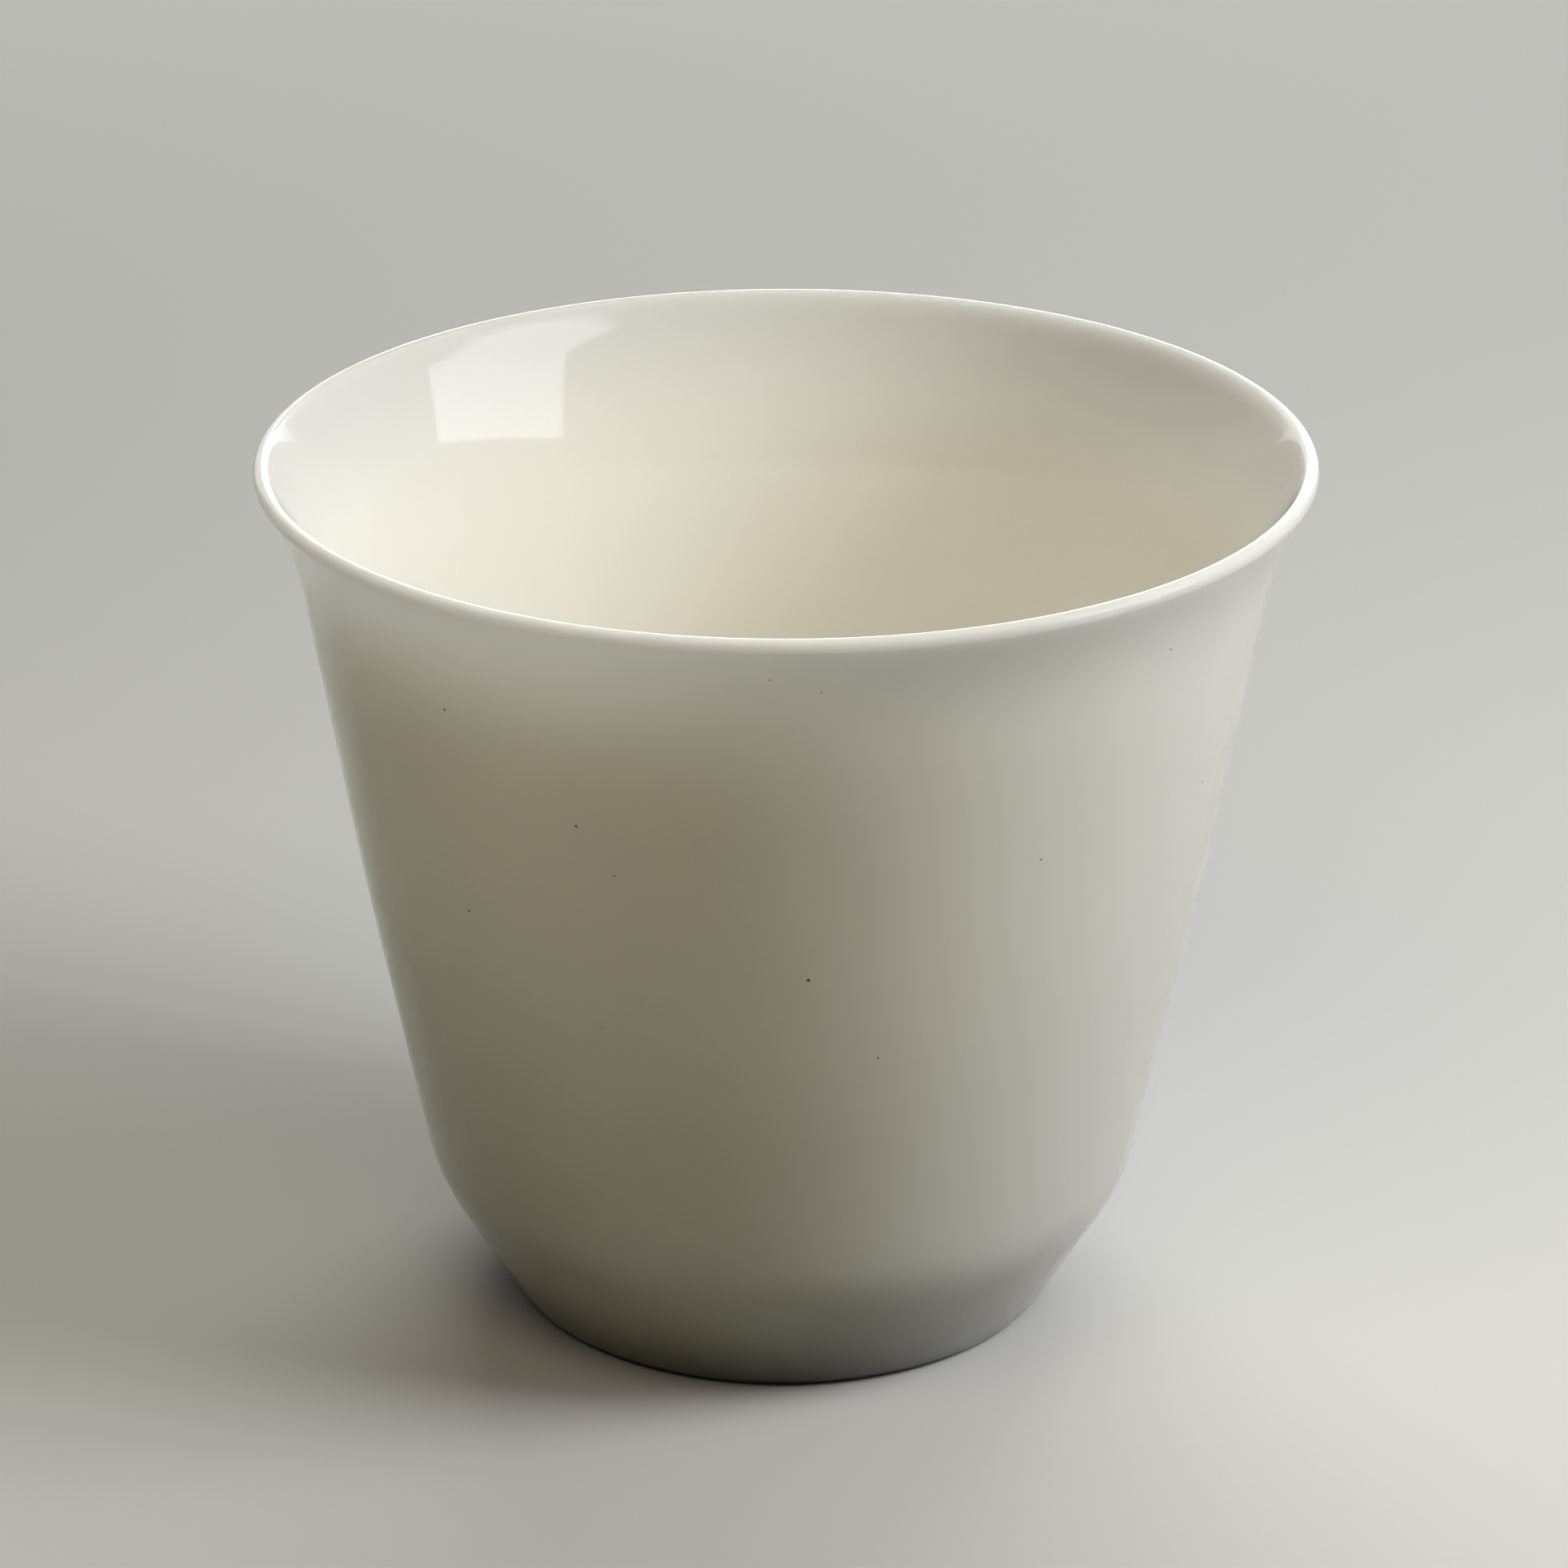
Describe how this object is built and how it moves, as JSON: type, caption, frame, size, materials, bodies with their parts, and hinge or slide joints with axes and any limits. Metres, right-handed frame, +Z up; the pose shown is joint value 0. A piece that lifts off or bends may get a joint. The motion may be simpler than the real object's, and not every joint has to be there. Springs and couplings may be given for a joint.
{
  "type": "teacup",
  "caption": "Small handleless porcelain teacup: straight tapering wall, flared thin lip and low wiped foot ring, coated in glossy ivory glaze; holds tea and rests on its foot.",
  "frame": {"origin": "centre of the foot ring, in the plane that the cup stands on", "axes": "+Z up along the cup's axis of turning, +X and +Y level"},
  "size_m": [0.07, 0.07, 0.0599],
  "materials": {
    "bare_porcelain": "fired, unglazed, matt",
    "ivory_glaze": "clear gloss glaze over ivory porcelain"
  },
  "bodies": {
    "root": {"porcelain_body": "bare_porcelain", "glaze_coat": "ivory_glaze", "base_glaze": "ivory_glaze"}
  },
  "joints": []
}
